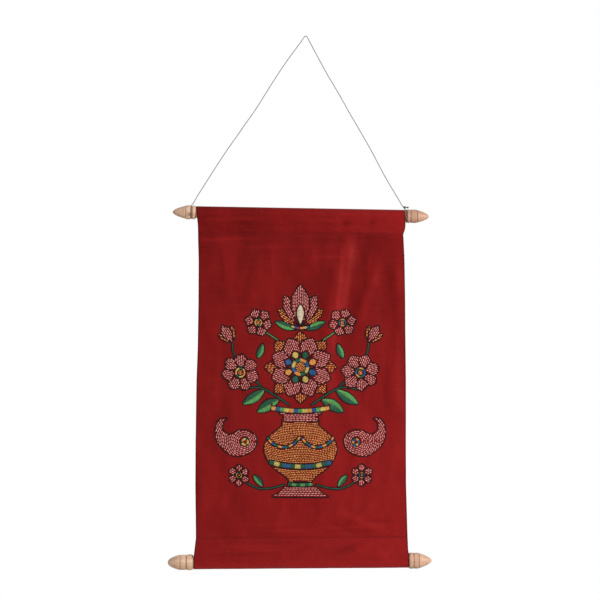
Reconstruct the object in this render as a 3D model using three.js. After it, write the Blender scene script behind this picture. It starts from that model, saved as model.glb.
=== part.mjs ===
// Embroidered wall scroll: a cloth panel between two turned rods, hung from one string.
// Millimetres, +Z up, the front of the scroll faces -Y.
// The origin is the hang point: the underside of the string where it bends over its support.
import * as THREE from "three";
import { mergeVertices } from "three/addons/utils/BufferGeometryUtils.js";

// Driving dimensions

const fitGap = 0.3; // clearance between pieces that touch
const turnSides = 24; // sides of a turned piece
const joinTolerance = 1e-4; // corners closer than this are one corner

// Rods, by the two tips of their finials as they hang: both tilt a little
const rods = {
  top: { leftTip: { x: -199.5, z: -263.3 }, rightTip: { x: 184.5, z: -270.1 }, radius: 8 },
  bottom: { leftTip: { x: -206.9, z: -788.9 }, rightTip: { x: 188.9, z: -786.0 }, radius: 9 },
};
const tenonRadius = 4.5;
const tenonLength = 12;

// Finials, turned by hand, so no two are alike. Every distance along is measured from the tip.
const finials = [
  {
    name: "top_finial_left", rod: "top", side: "left", length: 35.2,
    bulletLength: 19.6, bulletRadius: 9.8, bulletPower: 0.5,
    bandEnd: 26.9, bandRadius: 10.5, beadStart: 29.8, beadEnd: 33.4, beadRadius: 10.5,
    grooveRadius: 8.4, neckRadius: 9.0,
  },
  {
    name: "top_finial_right", rod: "top", side: "right", length: 34.8,
    bulletLength: 17.0, bulletRadius: 9.4, bulletPower: 0.5,
    bandEnd: 26.8, bandRadius: 10.0, beadStart: 28.0, beadEnd: 32.2, beadRadius: 10.1,
    grooveRadius: 9.2, neckRadius: 8.7,
  },
  {
    name: "bottom_finial_left", rod: "bottom", side: "left", length: 38.0,
    bulletLength: 18.3, bulletRadius: 11.5, bulletPower: 0.42,
    bandEnd: 27.3, bandRadius: 11.3, beadStart: 28.6, beadEnd: 36.4, beadRadius: 11.8,
    grooveRadius: 10.4, neckRadius: 10.9,
  },
  {
    name: "bottom_finial_right", rod: "bottom", side: "right", length: 34.0,
    bulletLength: 19.0, bulletRadius: 11.3, bulletPower: 0.55,
    bandEnd: 26.7, bandRadius: 11.8, beadStart: 27.9, beadEnd: 33.0, beadRadius: 12.0,
    grooveRadius: 11.2, neckRadius: 11.4,
  },
];
// The thin turned line between bullet and band, and the share of its width that is at full depth
const ringCut = { width: 0.9, depth: 0.8, floor: 0.5 };
const edgeRound = { along: 0.7, drop: 0.35 }; // rounding of the band's two edges
const wallLean = 0.1; // a groove's walls lean out by this much
const beadFullness = 0.6; // 1 is a plain half round, less is fuller
const beadLift = 0.05; // the bead's foot stands this much above the groove's floor
const bulletSteps = 8;
const beadSteps = 4;

// Cloth
const clothThickness = 1.0;
const pocketGap = 0.4; // room between a rod and its pocket
const topSeamZ = -296.7;
const bottomSeamZ = -752.3;
// The hem's edge on the back: how far it lies past the seam, how much of the panel's bow it
// follows, and its slant in cloth thicknesses
const hem = { pastSeam: 4, follow: 0.9, slant: 0.5 };
const pocketCorner = 2; // from a seam to the pocket's inner corner, in cloth thicknesses
const bellyDepth = 1.5; // how far the panel bows to the front between the seams
const seamTilt = { top: 0, bottom: 0.5 }; // how much of its rod's tilt each seam follows
const clothColumns = 40; // steps across the cloth
const panelRows = 24; // steps down the panel
const pocketArcSteps = 10;

// The cloth's side edges from the top down: drawn in at the seams, wider towards the bottom rod
const clothEdges = [
  { z: -257, left: -164.1, right: 148.2 },
  { z: -272, left: -163.0, right: 149.0 },
  { z: -281, left: -161.8, right: 149.4 },
  { z: -288, left: -161.4, right: 148.9 },
  { z: -297, left: -161.4, right: 146.3 },
  { z: -306, left: -161.2, right: 146.8 },
  { z: -335, left: -160.5, right: 147.9 },
  { z: -402, left: -160.8, right: 148.8 },
  { z: -470, left: -161.9, right: 149.6 },
  { z: -515, left: -163.5, right: 150.1 },
  { z: -605, left: -165.0, right: 150.2 },
  { z: -672, left: -165.4, right: 150.4 },
  { z: -717, left: -164.8, right: 151.7 },
  { z: -752, left: -164.7, right: 152.8 },
  { z: -771, left: -166.8, right: 153.4 },
  { z: -776, left: -167.4, right: 154.2 },
  { z: -799, left: -167.9, right: 154.6 },
];

// Soft folds of the panel, one row each: centre, lean of the fold from upright (x per z),
// half width, half length, and height to the front (negative is a trough)
const folds = [
  { x: 38, z: -397, lean: 0.12, halfWidth: 14, halfLength: 110, height: 4.9 },
  { x: 70, z: -380, lean: 0.16, halfWidth: 12, halfLength: 85, height: -2.8 },
  { x: 93, z: -378, lean: 0.32, halfWidth: 8, halfLength: 46, height: 2.4 },
  { x: 146, z: -392, lean: 0, halfWidth: 18, halfLength: 62, height: 4.8 },
  { x: -119, z: -365, lean: 0.05, halfWidth: 10, halfLength: 45, height: 2.4 },
  { x: -87, z: -325, lean: 0.2, halfWidth: 7, halfLength: 22, height: 0.9 },
  { x: -113, z: -562, lean: 0, halfWidth: 11, halfLength: 40, height: 1.6 },
  { x: 35, z: -643, lean: 0.35, halfWidth: 9, halfLength: 38, height: 1.8 },
  { x: 78, z: -607, lean: 0.05, halfWidth: 9, halfLength: 32, height: 1.7 },
  { x: 86, z: -713, lean: 1.1, halfWidth: 12, halfLength: 26, height: 2.4 },
  { x: 77, z: -740, lean: 0.4, halfWidth: 14, halfLength: 15, height: -1.8 },
  { x: -157, z: -705, lean: 0, halfWidth: 9, halfLength: 48, height: 1.8 },
  { x: -128, z: -643, lean: 0.1, halfWidth: 10, halfLength: 35, height: -1.2 },
  { x: -20, z: -420, lean: -0.05, halfWidth: 30, halfLength: 150, height: -1.4 },
  { x: -60, z: -660, lean: 0.1, halfWidth: 28, halfLength: 90, height: -1.2 },
  { x: 128, z: -570, lean: 0.05, halfWidth: 16, halfLength: 90, height: 1.8 },
  { x: -140, z: -450, lean: 0.05, halfWidth: 12, halfLength: 60, height: 1.2 },
];
const foldFade = 30; // a fold dies away over this height at each seam

// String
const cordDiameter = 1.2;
const cordSides = 8;
const cordStepsPerPoint = 2;
// Its route in the scroll's plane: up from the left tie, over the hang point, down to the right knot
const cordRoute = [
  [-171.0, -252.9], [-167.3, -248.0], [-162.4, -239.3], [-151.0, -221.3], [-139.6, -203.3],
  [-127.9, -185.3], [-115.9, -167.3], [-103.0, -149.3], [-90.6, -131.3], [-77.7, -113.3],
  [-66.1, -95.3], [-54.9, -77.3], [-43.4, -59.3], [-31.4, -41.3], [-18.4, -23.3],
  [-9.2, -10.9], [-5.1, -5.0], [-2.2, -0.9], [-1.2, 0.2], [0.0, 0.6],
  [1.2, 0.2], [2.2, -0.9], [4.5, -5.0], [7.6, -11.0], [14.1, -23.3],
  [23.8, -41.3], [33.8, -59.3], [44.5, -77.3], [55.0, -95.3], [64.9, -113.3],
  [75.4, -131.3], [85.9, -149.3], [96.2, -167.3], [105.8, -185.3], [115.3, -203.3],
  [125.3, -221.3], [136.3, -239.3], [141.3, -248.0], [145.2, -254.4],
];
const wrapTurns = 2;
const wrapSquash = 0.93; // the turns lie a little flattened against each other
const wrapFill = 0.1; // how far the furrow between two turns is filled
const loopAlong = 33.7; // the loop's place on the right finial, from its tip
const loopSteps = 16; // steps round the neck
// The loop's two ends under the right knot: their place from its middle, how far apart they
// are, and how far they drop on their way out
const loopEnds = { right: 0.7, down: 2.1, spread: 0.9, drop: 0.6 };
const knotRight = { x: 148.4, z: -256.5 };
// Profile of the right knot, its tail and the stop knot, from its left end
const knotRightProfile = [
  { along: 0, radius: 0 }, { along: 0.5, radius: 1.2 }, { along: 1.9, radius: 2.2 },
  { along: 3.4, radius: 2.0 }, { along: 4.5, radius: 0.9 }, { along: 5.3, radius: 0.7 },
  { along: 6.0, radius: 1.2 }, { along: 7.2, radius: 1.5 }, { along: 8.3, radius: 1.1 },
  { along: 8.9, radius: 0 },
];
const knotRightBack = 2.6; // from the knot's left end to its middle
// The left knot sits this many degrees below the front of the turns
const knotLeft = { halfWidth: 1.9, halfHeight: 2.4, halfDepth: 1.7, turnBelow: 13 };
const knotSides = 12;
const knotRings = 8;

// Materials

const silk = new THREE.MeshStandardMaterial({ color: 0x811a1a, roughness: 0.62, metalness: 0 });
const paleWood = new THREE.MeshStandardMaterial({ color: 0xd7b296, roughness: 0.55, metalness: 0 });
const string = new THREE.MeshStandardMaterial({ color: 0x8c8478, roughness: 0.9, metalness: 0 });

// Helpers

// A column of a table at height z, straight between its rows, which run from the top down
function readTable(table, column, z) {
  const below = table.findIndex((row) => row.z <= z);
  if (below === 0) return table[0][column];
  if (below < 0) return table[table.length - 1][column];
  const a = table[below - 1];
  const b = table[below];
  return THREE.MathUtils.mapLinear(z, a.z, b.z, a[column], b[column]);
}

// Position only, with shared corners joined, so that the surface is closed
function closed(geometry) {
  geometry.deleteAttribute("normal");
  geometry.deleteAttribute("uv");
  const merged = mergeVertices(geometry, joinTolerance);
  merged.computeVertexNormals();
  return merged;
}

function piece(name, geometry, material) {
  const mesh = new THREE.Mesh(closed(geometry), material);
  mesh.name = name;
  return mesh;
}

// A turned piece from its profile: {along, radius} rows from one end to the other
function turned(profile, sides = turnSides) {
  return new THREE.LatheGeometry(
    profile.map((p) => new THREE.Vector2(p.radius, p.along)),
    sides,
  );
}

// Rods

function rodAxis(rod) {
  const dx = rod.rightTip.x - rod.leftTip.x;
  const dz = rod.rightTip.z - rod.leftTip.z;
  return {
    length: Math.hypot(dx, dz),
    slope: dz / dx,
    midX: (rod.leftTip.x + rod.rightTip.x) / 2,
    midZ: (rod.leftTip.z + rod.rightTip.z) / 2,
  };
}

function finialProfile(f) {
  const profile = [];
  for (let i = 0; i <= bulletSteps; i++) {
    const share = (i / bulletSteps) ** 2;
    profile.push({ along: f.bulletLength * share, radius: f.bulletRadius * share ** f.bulletPower });
  }
  const cutRadius = f.bulletRadius - ringCut.depth;
  const cutMiddle = f.bulletLength + ringCut.width / 2;
  const cutHalf = (ringCut.width * ringCut.floor) / 2;
  const bandStart = f.bulletLength + ringCut.width;
  profile.push(
    { along: cutMiddle - cutHalf, radius: cutRadius },
    { along: cutMiddle + cutHalf, radius: cutRadius },
    { along: bandStart, radius: f.bandRadius - edgeRound.drop },
    { along: bandStart + edgeRound.along, radius: f.bandRadius },
    { along: f.bandEnd - edgeRound.along, radius: f.bandRadius },
    { along: f.bandEnd, radius: f.bandRadius - edgeRound.drop },
    { along: f.bandEnd + wallLean, radius: f.grooveRadius },
    { along: f.beadStart - wallLean, radius: f.grooveRadius },
  );
  const beadFoot = Math.max(f.grooveRadius, f.neckRadius) + beadLift;
  for (let i = 0; i <= beadSteps; i++) {
    const angle = (Math.PI * i) / beadSteps;
    profile.push({
      along: THREE.MathUtils.lerp(f.beadStart, f.beadEnd, (1 - Math.cos(angle)) / 2),
      radius: beadFoot + (f.beadRadius - beadFoot) * Math.sin(angle) ** beadFullness,
    });
  }
  const boreRadius = tenonRadius + fitGap;
  const boreDepth = tenonLength + fitGap;
  profile.push(
    { along: f.beadEnd + wallLean, radius: f.neckRadius },
    { along: f.length, radius: f.neckRadius },
    { along: f.length, radius: boreRadius },
    { along: f.length - boreDepth, radius: boreRadius },
    { along: f.length - boreDepth, radius: 0 },
  );
  return profile;
}

function dowelProfile(rod, bodyStart, bodyEnd) {
  return [
    { along: bodyStart - tenonLength, radius: 0 },
    { along: bodyStart - tenonLength, radius: tenonRadius },
    { along: bodyStart, radius: tenonRadius },
    { along: bodyStart, radius: rod.radius },
    { along: bodyEnd, radius: rod.radius },
    { along: bodyEnd, radius: tenonRadius },
    { along: bodyEnd + tenonLength, radius: tenonRadius },
    { along: bodyEnd + tenonLength, radius: 0 },
  ];
}

// A rod's group: its own x runs along the rod from the left tip, so a distance along is a length
function rodGroup(rodName) {
  const rod = rods[rodName];
  const axis = rodAxis(rod);
  const group = new THREE.Group();
  group.position.set(rod.leftTip.x, 0, rod.leftTip.z);
  group.rotation.y = -Math.atan(axis.slope);
  const ends = {};
  for (const f of finials.filter((row) => row.rod === rodName)) {
    const mesh = piece(f.name, turned(finialProfile(f)), paleWood);
    mesh.rotation.z = f.side === "left" ? -Math.PI / 2 : Math.PI / 2;
    mesh.position.x = f.side === "left" ? 0 : axis.length;
    ends[f.side] = f.length;
    group.add(mesh);
  }
  const profile = dowelProfile(rod, ends.left + fitGap, axis.length - ends.right - fitGap);
  const dowel = piece(rodName + "_dowel", turned(profile), paleWood);
  dowel.rotation.z = -Math.PI / 2;
  group.add(dowel);
  return group;
}

// Cloth

// Points of one pocket wall at distance r from the rod: seam to rod, round it, and back to the seam.
// up is 1 for the top rod and -1 for the bottom one; the wall starts on the front.
function pocketWall(axisZ, seamZ, r, seamFrontY, seamBackY, up) {
  const reach = Math.abs(axisZ - seamZ);
  const lean = Math.asin(r / reach);
  const points = [[seamFrontY, seamZ]];
  for (let i = 0; i <= pocketArcSteps; i++) {
    const turn = THREE.MathUtils.lerp(-lean, Math.PI + lean, i / pocketArcSteps);
    points.push([-r * Math.cos(turn), axisZ + up * r * Math.sin(turn)]);
  }
  points.push([seamBackY, seamZ]);
  return points;
}

function belly(z) {
  const down = (topSeamZ - z) / (topSeamZ - bottomSeamZ);
  return -bellyDepth * Math.sin(Math.PI * THREE.MathUtils.clamp(down, 0, 1));
}

// The cloth cut across: the panel, a pocket at each end, and each hem's edge on the back
function clothSection() {
  const top = rodAxis(rods.top);
  const bottom = rodAxis(rods.bottom);
  const topInner = rods.top.radius + pocketGap;
  const bottomInner = rods.bottom.radius + pocketGap;
  const t = clothThickness;
  const topWall = pocketWall(top.midZ, topSeamZ, topInner + t, -t, t, 1);
  const bottomWall = pocketWall(bottom.midZ, bottomSeamZ, bottomInner + t, -t, t, -1);
  const panel = [];
  for (let i = 1; i < panelRows; i++) {
    panel.push(THREE.MathUtils.lerp(topSeamZ, bottomSeamZ, i / panelRows));
  }
  const topHemZ = topSeamZ - hem.pastSeam;
  const bottomHemZ = bottomSeamZ + hem.pastSeam;
  const outline = [
    ...topWall,
    [t + belly(topHemZ) * hem.follow, topHemZ],
    [belly(topHemZ), topHemZ - t * hem.slant],
    ...panel.map((z) => [belly(z), z]),
    [belly(bottomHemZ), bottomHemZ + t * hem.slant],
    [t + belly(bottomHemZ) * hem.follow, bottomHemZ],
    ...bottomWall.reverse(),
    ...panel.reverse().map((z) => [belly(z) - t, z]),
  ];
  const shape = new THREE.Shape(outline.map(([y, z]) => new THREE.Vector2(y, z)));
  const holes = [
    pocketWall(top.midZ, topSeamZ + pocketCorner * t, topInner, 0, 0, 1),
    pocketWall(bottom.midZ, bottomSeamZ - pocketCorner * t, bottomInner, 0, 0, -1),
  ];
  for (const hole of holes) {
    hole.pop();
    const points = hole.map(([y, z]) => new THREE.Vector2(y, z));
    if (THREE.ShapeUtils.isClockWise(points)) points.reverse(); // against the outline's way round
    shape.holes.push(new THREE.Path(points));
  }
  return shape;
}

// How far the folds push the cloth to the front at (x, z)
function foldHeight(x, z) {
  const fade =
    THREE.MathUtils.smoothstep(topSeamZ - z, 0, foldFade) *
    THREE.MathUtils.smoothstep(z - bottomSeamZ, 0, foldFade);
  let height = 0;
  for (const fold of folds) {
    const down = z - fold.z;
    const across = x - fold.x - fold.lean * down;
    height +=
      fold.height *
      Math.exp(-((across / fold.halfWidth) ** 2)) *
      Math.exp(-((down / fold.halfLength) ** 2));
  }
  return height * fade;
}

// Slope of the cloth's cross lines at height z: with the rods at the pockets, level at the top seam
function crossSlope(z) {
  const top = rodAxis(rods.top);
  const bottom = rodAxis(rods.bottom);
  const rows = [
    { z: top.midZ - rods.top.radius / 2, slope: top.slope },
    { z: topSeamZ, slope: top.slope * seamTilt.top },
    { z: bottomSeamZ, slope: bottom.slope * seamTilt.bottom },
    { z: bottom.midZ + rods.bottom.radius / 2, slope: bottom.slope },
  ];
  return readTable(rows, "slope", z);
}

function clothGeometry() {
  const geometry = new THREE.ExtrudeGeometry(clothSection(), {
    depth: 1,
    steps: clothColumns,
    bevelEnabled: false,
  });
  const place = geometry.attributes.position;
  const middle = { top: rodAxis(rods.top).midX, bottom: rodAxis(rods.bottom).midX };
  for (let i = 0; i < place.count; i++) {
    const y = place.getX(i);
    const z = place.getY(i);
    const across = place.getZ(i);
    const x = THREE.MathUtils.lerp(
      readTable(clothEdges, "left", z),
      readTable(clothEdges, "right", z),
      across,
    );
    const midX = z > (topSeamZ + bottomSeamZ) / 2 ? middle.top : middle.bottom;
    place.setXYZ(i, x, y - foldHeight(x, z), z + crossSlope(z) * (x - midX));
  }
  return geometry;
}

// String

// A route through a list of points, with the same number of steps between every two of them
class HandLaidRoute extends THREE.CatmullRomCurve3 {
  getPointAt(t, target) {
    return this.getPoint(t, target);
  }
  getTangentAt(t, target) {
    return this.getTangent(t, target);
  }
}

function tube(points, steps) {
  const section = new THREE.Shape();
  for (let i = 0; i < cordSides; i++) {
    const angle = (2 * Math.PI * i) / cordSides;
    const corner = new THREE.Vector2(Math.cos(angle), Math.sin(angle)).multiplyScalar(cordDiameter / 2);
    if (i === 0) section.moveTo(corner.x, corner.y);
    else section.lineTo(corner.x, corner.y);
  }
  return new THREE.ExtrudeGeometry(section, {
    steps,
    bevelEnabled: false,
    extrudePath: new HandLaidRoute(points),
  });
}

function cordGeometry() {
  const points = cordRoute.map(([x, z]) => new THREE.Vector3(x, 0, z));
  return tube(points, (points.length - 1) * cordStepsPerPoint);
}

// Turns side by side in a finial's groove, as one ring
function wrapGeometry(innerRadius) {
  const width = cordDiameter * wrapSquash;
  const half = (wrapTurns * width) / 2;
  const profile = [
    { along: half, radius: innerRadius },
    { along: -half, radius: innerRadius },
    { along: -half, radius: innerRadius + cordDiameter / 2 },
  ];
  for (let turn = 0; turn < wrapTurns; turn++) {
    const middle = -half + width * (turn + 0.5);
    profile.push({ along: middle, radius: innerRadius + cordDiameter });
    profile.push({ along: middle + width / 2, radius: innerRadius + cordDiameter / 2 + wrapFill });
  }
  profile.push({ along: half, radius: innerRadius });
  return turned(profile);
}

// The loop round the right finial's neck, drawn up to the knot: it leaves the neck on a tangent
function loopGeometry(centre, neckRadius) {
  const r = neckRadius + fitGap + cordDiameter / 2;
  const footX = knotRight.x + loopEnds.right;
  const footZ = knotRight.z - loopEnds.down - cordDiameter / 2;
  const leave = Math.acos(r / (footZ - centre.z));
  const points = [new THREE.Vector3(footX, -loopEnds.spread, footZ - loopEnds.drop)];
  for (let i = 0; i <= loopSteps; i++) {
    const turn = THREE.MathUtils.lerp(leave, 2 * Math.PI - leave, i / loopSteps);
    points.push(new THREE.Vector3(centre.x, -r * Math.sin(turn), centre.z + r * Math.cos(turn)));
  }
  points.push(new THREE.Vector3(footX, loopEnds.spread, footZ - loopEnds.drop));
  return tube(points, (points.length - 1) * cordStepsPerPoint);
}

function addCordPieces(scroll) {
  scroll.add(piece("hanging_cord", cordGeometry(), string));

  const axis = rodAxis(rods.top);
  const left = finials.find((f) => f.name === "top_finial_left");
  const wrapAlong = (left.bandEnd + left.beadStart) / 2;
  const wrapCentre = new THREE.Vector3(
    rods.top.leftTip.x + wrapAlong,
    0,
    rods.top.leftTip.z + wrapAlong * axis.slope,
  );
  const wrap = piece("cord_wrap_left", wrapGeometry(left.grooveRadius + fitGap), string);
  wrap.position.copy(wrapCentre);
  wrap.rotation.y = -Math.atan(axis.slope);
  wrap.rotation.z = -Math.PI / 2;
  wrap.rotation.order = "YZX";
  scroll.add(wrap);

  const knot = piece("cord_knot_left", new THREE.SphereGeometry(1, knotSides, knotRings), string);
  knot.scale.set(knotLeft.halfWidth, knotLeft.halfDepth, knotLeft.halfHeight);
  const wrapOuter = left.grooveRadius + fitGap + cordDiameter;
  const outward = wrapOuter + fitGap + knotLeft.halfDepth;
  const below = THREE.MathUtils.degToRad(knotLeft.turnBelow);
  knot.position.set(
    wrapCentre.x,
    -outward * Math.cos(below),
    wrapCentre.z - outward * Math.sin(below),
  );
  knot.rotation.x = below;
  scroll.add(knot);

  const right = finials.find((f) => f.name === "top_finial_right");
  const loopX = rods.top.rightTip.x - loopAlong;
  const loopCentre = new THREE.Vector3(loopX, 0, rods.top.rightTip.z - loopAlong * axis.slope);
  scroll.add(piece("cord_loop_right", loopGeometry(loopCentre, right.neckRadius), string));

  const stopKnot = piece("cord_knot_right", turned(knotRightProfile, knotSides), string);
  stopKnot.rotation.z = -Math.PI / 2;
  stopKnot.position.set(knotRight.x - knotRightBack, 0, knotRight.z);
  scroll.add(stopKnot);
}

// Scroll

const scroll = new THREE.Group();
scroll.add(piece("cloth_panel", clothGeometry(), silk));
scroll.add(rodGroup("top"));
scroll.add(rodGroup("bottom"));
addCordPieces(scroll);

export default scroll;
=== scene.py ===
# Embroidered wall scroll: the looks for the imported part
# Z up, the front of the scroll faces -Y, the origin is the hang point
# The studio and the finished meshes are in metres, the tables of the scroll's sizes in millimetres
import math
import random

import bmesh
import bpy
import numpy as np
from mathutils import Matrix, Vector, noise


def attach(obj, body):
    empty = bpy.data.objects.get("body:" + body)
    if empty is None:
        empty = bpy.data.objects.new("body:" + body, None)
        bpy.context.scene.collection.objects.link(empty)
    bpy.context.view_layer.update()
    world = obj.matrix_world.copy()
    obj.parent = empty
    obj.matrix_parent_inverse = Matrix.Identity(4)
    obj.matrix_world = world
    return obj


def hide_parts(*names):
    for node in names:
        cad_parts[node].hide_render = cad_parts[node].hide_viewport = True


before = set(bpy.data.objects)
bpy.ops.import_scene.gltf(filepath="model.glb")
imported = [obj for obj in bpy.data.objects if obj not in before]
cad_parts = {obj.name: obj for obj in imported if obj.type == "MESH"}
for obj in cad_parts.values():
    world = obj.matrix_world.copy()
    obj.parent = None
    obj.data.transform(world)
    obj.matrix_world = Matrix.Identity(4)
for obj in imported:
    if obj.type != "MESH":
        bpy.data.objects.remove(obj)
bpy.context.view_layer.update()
mm = 0.001
print("frame loaded:", len(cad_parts), "nodes")

# helpers


def srgb(r, g, b):  # 8-bit display colour to a linear one
    return tuple((c / 255 / 12.92) if c < 10.3 else ((c / 255 + 0.055) / 1.055) ** 2.4 for c in (r, g, b)) + (1,)


def addObject(name, data):
    thing = bpy.data.objects.new(name, data)
    bpy.context.scene.collection.objects.link(thing)
    return thing


def newPiece(name, points, faces, material):
    mesh = bpy.data.meshes.new(name)
    mesh.from_pydata([tuple(p) for p in points], [], faces)
    mesh.polygons.foreach_set("use_smooth", [True] * len(mesh.polygons))
    mesh.materials.append(material)
    bm = bmesh.new()
    bm.from_mesh(mesh)
    bmesh.ops.recalc_face_normals(bm, faces=bm.faces)
    bm.to_mesh(mesh)
    bm.free()
    return addObject(name, mesh)


def handIn(piece, node=None):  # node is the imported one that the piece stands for
    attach(piece, "root")
    if node:
        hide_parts(node)
    return piece


def setAttribute(piece, name, values):
    piece.data.attributes.new(name, "FLOAT", "POINT").data.foreach_set("value", values)


def newMaterial(name):
    material = bpy.data.materials.new(name)
    material.use_nodes = True
    tree = material.node_tree
    return material, tree, tree.nodes["Principled BSDF"]


def feed(tree, node, inputs):
    # inputs gives a socket or a value for each input's name or number
    for name, value in dict(inputs).items():
        if isinstance(value, bpy.types.NodeSocket):
            tree.links.new(value, node.inputs[name])
        else:
            node.inputs[name].default_value = value
    return node


def addNode(tree, kind, inputs=(), **settings):
    node = tree.nodes.new(kind)
    for name, value in settings.items():
        setattr(node, name, value)
    return feed(tree, node, inputs)


def mathNode(tree, operation, *values, clamp=False):
    return addNode(tree, "ShaderNodeMath", enumerate(values), operation=operation, use_clamp=clamp).outputs[0]


def rangeOf(tree, value, fromLow, fromHigh, toLow, toHigh, **settings):
    return addNode(tree, "ShaderNodeMapRange", {
        "Value": value, "From Min": fromLow, "From Max": fromHigh, "To Min": toLow, "To Max": toHigh,
    }, **settings).outputs["Result"]


def mixColor(tree, share, first, second):
    return addNode(tree, "ShaderNodeMix", {0: share, 6: first, 7: second}, data_type="RGBA").outputs[2]


def tint(tree, color, other, value, *span):
    # mixes in the other colour as value runs over the first half of span; the second half says how much
    return mixColor(tree, rangeOf(tree, value, *span), color, other)


def mapped(tree, source, scale, place=(0, 0, 0), turn=(0, 0, 0)):
    return addNode(tree, "ShaderNodeMapping", {
        "Vector": source, "Scale": scale, "Location": place, "Rotation": turn}).outputs[0]


def noiseFrom(tree, vector, scale, detail=2.0, roughness=0.5):
    return addNode(tree, "ShaderNodeTexNoise", {
        "Vector": vector, "Scale": scale, "Detail": detail, "Roughness": roughness}).outputs["Fac"]


def attributeOf(tree, name, output="Fac"):
    return addNode(tree, "ShaderNodeAttribute", attribute_name=name).outputs[output]


def bumpInto(tree, shader, height, strength, distance):
    bump = addNode(tree, "ShaderNodeBump", {"Height": height, "Strength": strength, "Distance": distance})
    feed(tree, shader, {"Normal": bump.outputs[0]})


# camera and studio

studio = {
    "lens": 100.0,
    "sensor": 36.0,
    "cameraPlace": (-0.00855, -2.5, -0.39525),
    "clip": (0.05, 60),
    "backdrop": (1.0, 1.0, 1.0, 1),
    "backdropStrength": 1.0,  # of the plain white far behind
    "backdropWidth": (0.86, 0.96),  # where it fades in, as the cosine from straight ahead
    "roomSpan": (-0.6, 0.8),  # the room's light grows between these heights, seen as a sine
    "roomLight": (0.33, 0.50),  # its strength from below and from above
    "lamps": {"key": ((1.6, -1.15, 0.0), 0.7, 38.0), "fill": ((-0.5, -2.6, 0.2), 1.5, 12.5)},  # place, size, power
    "lampAim": (0, 0, -0.5),
    "floorHeight": -1.25,
    "floorRadius": 2.2,
    "floorColor": (0.60, 0.59, 0.57, 1),
    "floorRoughness": 0.9,
}


def makeCamera():
    data = bpy.data.cameras.new("camera")
    data.lens = studio["lens"]
    data.sensor_width = studio["sensor"]
    data.clip_start, data.clip_end = studio["clip"]
    camera = addObject("camera", data)
    camera.location = studio["cameraPlace"]
    camera.rotation_euler = (math.radians(90), 0, 0)
    bpy.context.scene.camera = camera


def makeRoom():
    world = bpy.data.worlds.new("studio")
    bpy.context.scene.world = world
    world.use_nodes = True
    tree = world.node_tree
    tree.nodes.clear()
    way = addNode(tree, "ShaderNodeSeparateXYZ", {0: addNode(tree, "ShaderNodeTexCoord").outputs["Generated"]}).outputs
    height = rangeOf(tree, way["Z"], *studio["roomSpan"], *studio["roomLight"])
    ahead = rangeOf(tree, way["Y"], *studio["backdropWidth"], 0, 1, interpolation_type="SMOOTHSTEP")
    strength = addNode(tree, "ShaderNodeMix", {0: ahead, 2: height, 3: studio["backdropStrength"]}).outputs[0]
    light = addNode(tree, "ShaderNodeBackground", {"Color": studio["backdrop"], "Strength": strength})
    addNode(tree, "ShaderNodeOutputWorld", {"Surface": light.outputs[0]})
    bpy.context.scene.view_settings.view_transform = "Standard"


def makeLamps():
    for name, (place, size, power) in studio["lamps"].items():
        data = bpy.data.lights.new(name, "AREA")
        data.size = size
        data.energy = power
        lamp = addObject(name, data)
        lamp.location = place
        lamp.rotation_euler = (Vector(studio["lampAim"]) - Vector(place)).to_track_quat("-Z", "Y").to_euler()


def makeFloor():
    bm = bmesh.new()
    bmesh.ops.create_circle(bm, cap_ends=True, segments=96, radius=studio["floorRadius"])
    bmesh.ops.translate(bm, verts=bm.verts, vec=(0, 0, studio["floorHeight"]))
    mesh = bpy.data.meshes.new("floor")
    bm.to_mesh(mesh)
    bm.free()
    paint, tree, shader = newMaterial("floorPaint")
    feed(tree, shader, {"Base Color": studio["floorColor"], "Roughness": studio["floorRoughness"]})
    mesh.materials.append(paint)
    addObject("floor", mesh)


makeCamera()
makeRoom()
makeLamps()
makeFloor()
print("camera and studio ready")

# hanging string

string = {
    "diameter": 1.2,
    "plyTwist": 3.4,  # length of one turn of its two plies
    "ringStep": 0.55,
    "sides": 12,
    "plyDepth": 0.13,  # how deep the furrow between the plies is, of the radius
    "color": srgb(124, 113, 99),
    "darkColor": srgb(84, 75, 66),
    "lightColor": srgb(158, 148, 133),
    # the next two colours are painted shade and a painted brown reflection of the wood, on the string near the finials
    "tanColor": srgb(150, 115, 84),
    "paintedShadeColor": srgb(88, 62, 48),
    # up from the left tie, over the hang point, down to the right knot
    "route": [
        (-172.0, -254.4), (-171.0, -252.9), (-167.3, -248.0), (-162.4, -239.3), (-151.0, -221.3), (-139.6, -203.3),
        (-127.9, -185.3), (-115.9, -167.3), (-103.0, -149.3), (-90.6, -131.3), (-77.7, -113.3),
        (-66.1, -95.3), (-54.9, -77.3), (-43.4, -59.3), (-31.4, -41.3), (-18.4, -23.3),
        (-9.2, -10.9), (-5.1, -5.0), (-2.2, -0.9), (-1.2, 0.2), (0.0, 0.6),
        (1.2, 0.2), (2.2, -0.9), (4.5, -5.0), (7.6, -11.0), (14.1, -23.3),
        (23.8, -41.3), (33.8, -59.3), (44.5, -77.3), (55.0, -95.3), (64.9, -113.3),
        (75.4, -131.3), (85.9, -149.3), (96.2, -167.3), (105.8, -185.3), (115.3, -203.3),
        (125.3, -221.3), (136.3, -239.3), (141.3, -248.0), (145.2, -254.4), (147.2, -256.0),
    ],
}


def smoothPath(points, closed=False, step=1.5):
    # a curve through points of two or three numbers, its own points about a step apart
    count = len(points)
    curve = []
    for i in range(count if closed else count - 1):
        p = [points[(i + k) % count if closed else min(max(i + k, 0), count - 1)] for k in (-1, 0, 1, 2)]
        pieces = max(2, round(math.dist(p[1], p[2]) / step))
        for j in range(pieces):
            t = j / pieces
            curve.append(tuple(
                0.5 * (2 * b + (c - a) * t + (2 * a - 5 * b + 4 * c - d) * t * t + (3 * b - a - 3 * c + d) * t ** 3)
                for a, b, c, d in zip(*p)))
    if not closed:
        curve.append(tuple(points[-1]))
    return curve


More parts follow.
